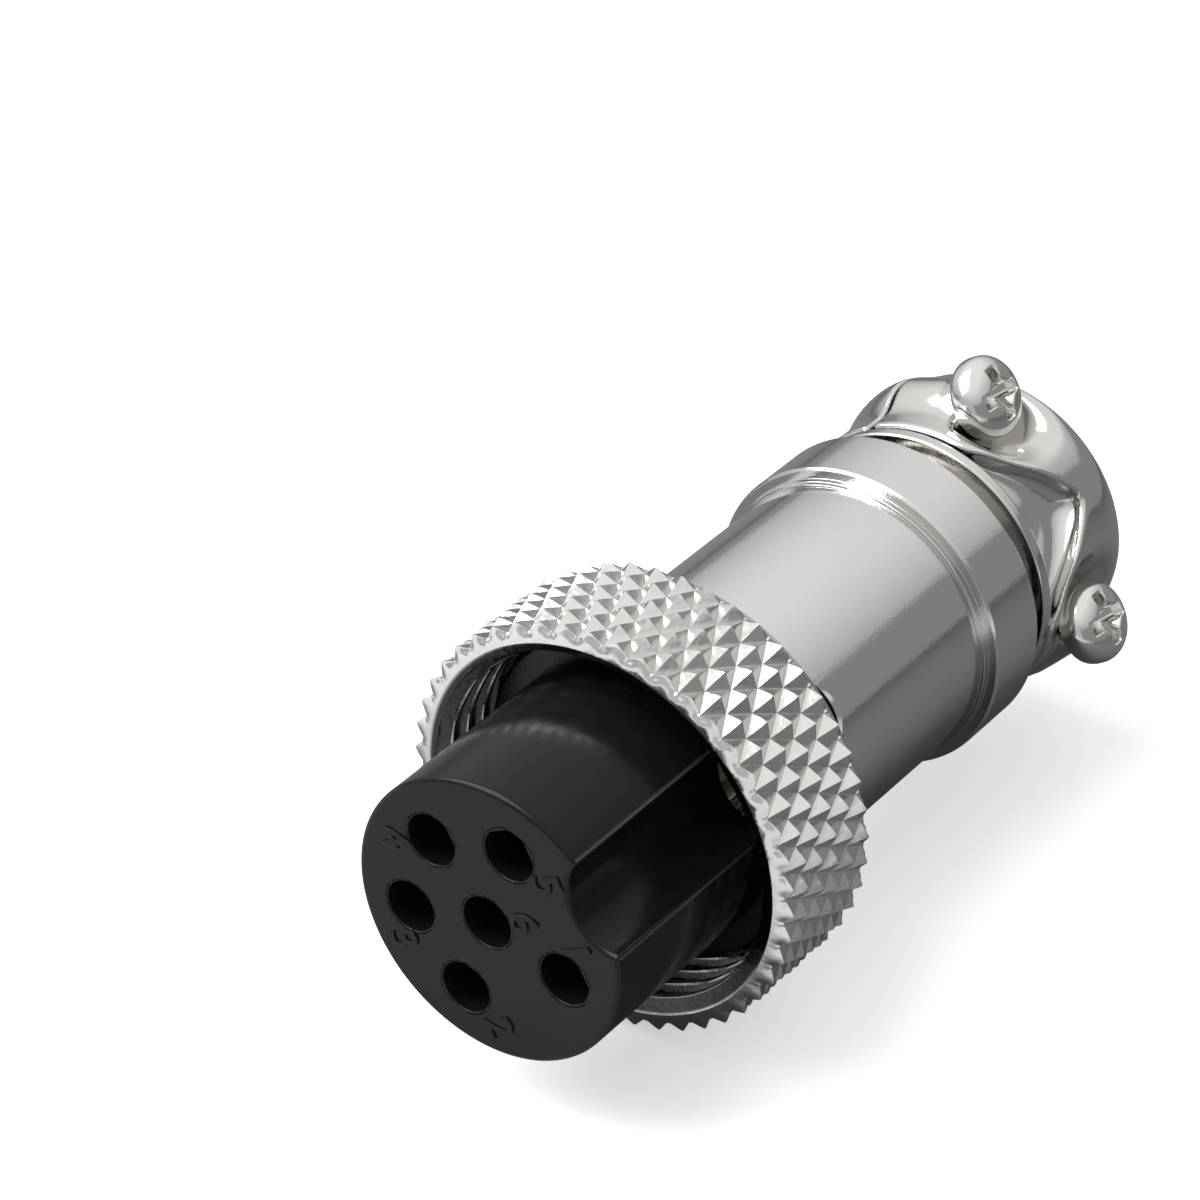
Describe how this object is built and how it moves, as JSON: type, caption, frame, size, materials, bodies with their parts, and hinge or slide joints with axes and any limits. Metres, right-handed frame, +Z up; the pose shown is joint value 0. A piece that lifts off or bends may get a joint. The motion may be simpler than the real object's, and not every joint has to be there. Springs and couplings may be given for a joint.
{
  "type": "circular cable connector plug",
  "caption": "Circular cable plug with keyed socket nose, knurled coupling nut, tubular barrel and screw-closed cable clamp at the tail.",
  "frame": {"origin": "centre of the insulator's mating face, on the plug axis", "axes": "+Y along the plug axis from the mating face to the cable end, +Z up as the plug lies"},
  "size_m": [0.018, 0.0364, 0.018],
  "materials": {
    "black_moulding": "semi-gloss moulded black",
    "bright_nickel": "bright nickel plate",
    "satin_nickel": "turned tube with satin nickel plate",
    "cast_nickel": "nickel plate on a casting",
    "contact_plate": "plated contact metal"
  },
  "bodies": {
    "shell": {"insulator": "black_moulding", "retaining_ring": "bright_nickel", "barrel": "satin_nickel", "set_screw": "bright_nickel", "clamp_body": "cast_nickel", "contact_1": "contact_plate", "contact_2": "contact_plate", "contact_3": "contact_plate", "contact_4": "contact_plate", "contact_5": "contact_plate", "contact_6": "contact_plate"},
    "nut": {"coupling_nut": "bright_nickel"},
    "saddle": {"clamp_saddle": "cast_nickel"},
    "screw_1": {"clamp_screw_1": "bright_nickel"},
    "screw_2": {"clamp_screw_2": "bright_nickel"}
  },
  "joints": [
    {"name": "nut_spin", "type": "hinge", "parent": "shell", "child": "nut", "pos_m": [0, 0.0099, 0], "axis": [0, 1, 0], "continuous": true},
    {"name": "saddle_lift", "type": "slide", "parent": "shell", "child": "saddle", "axis": [0.8415, 0, 0.5402], "range_m": [0, 0.0018]},
    {"name": "screw_1_turn", "type": "hinge", "parent": "saddle", "child": "screw_1", "pos_m": [-0.00286, 0.0335, 0.00446], "axis": [0.8415, 0, 0.5402], "range_deg": [0, 2160]},
    {"name": "screw_2_turn", "type": "hinge", "parent": "saddle", "child": "screw_2", "pos_m": [0.00286, 0.0335, -0.00446], "axis": [0.8415, 0, 0.5402], "range_deg": [0, 2160]}
  ],
  "couplings": [
    {"joint": "screw_1_turn", "follows": "saddle_lift", "rad_per_m": 20944},
    {"joint": "screw_2_turn", "follows": "saddle_lift", "rad_per_m": 20944}
  ]
}
